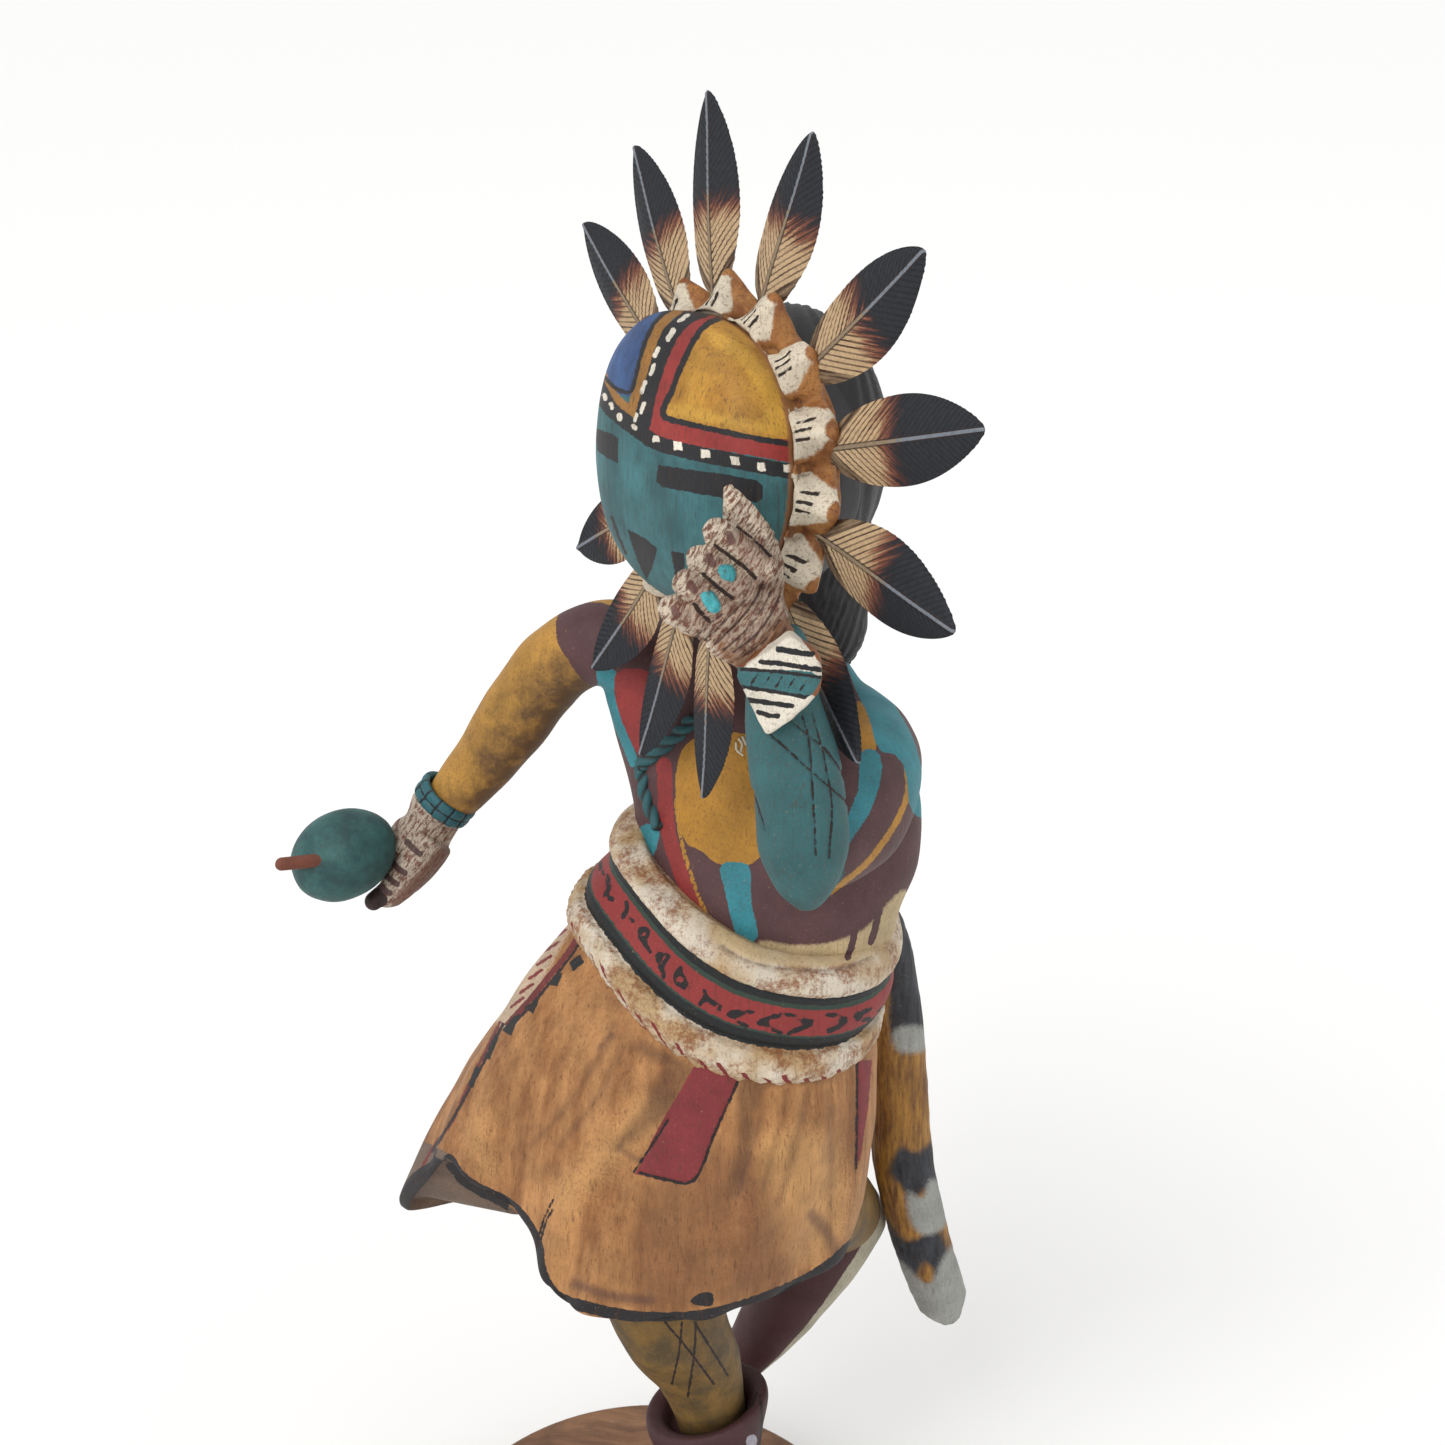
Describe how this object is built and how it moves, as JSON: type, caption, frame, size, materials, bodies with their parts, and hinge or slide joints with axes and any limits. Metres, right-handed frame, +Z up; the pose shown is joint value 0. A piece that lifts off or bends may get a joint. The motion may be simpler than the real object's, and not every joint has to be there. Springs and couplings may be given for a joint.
{
  "type": "kachina doll",
  "caption": "Carved and painted wooden kachina doll dancing on one leg, with a feather-ringed mask, kilt, rattle and round base.",
  "frame": {"origin": "centre of the base's underside", "axes": "+Z up; the doll's chest and the pictured front face -Y; +X to the doll's left"},
  "size_m": [0.1705, 0.1367, 0.3946],
  "materials": {
    "base_wood": "round cottonwood slab, sanded and lightly oiled",
    "painted_wood": "carved cottonwood, stained and painted with matt acrylics in turquoise, yellow, red, blue, maroon, black and white",
    "feather_paint": "carved cottonwood feathers, cream with maroon-brown band and black tip",
    "pelt_paint": "carved cottonwood tail, ochre with black and white patches",
    "gourd_paint": "carved gourd, dark turquoise paint",
    "stick_wood": "brown stained stick"
  },
  "bodies": {
    "root": {"base": "base_wood", "figure": "painted_wood", "feather_01": "feather_paint", "feather_02": "feather_paint", "feather_03": "feather_paint", "feather_04": "feather_paint", "feather_05": "feather_paint", "feather_06": "feather_paint", "feather_07": "feather_paint", "feather_08": "feather_paint", "feather_09": "feather_paint", "feather_10": "feather_paint", "feather_11": "feather_paint", "feather_12": "feather_paint", "feather_13": "feather_paint", "fox_pelt": "pelt_paint", "rattle_gourd": "gourd_paint", "rattle_handle": "stick_wood"}
  },
  "joints": []
}
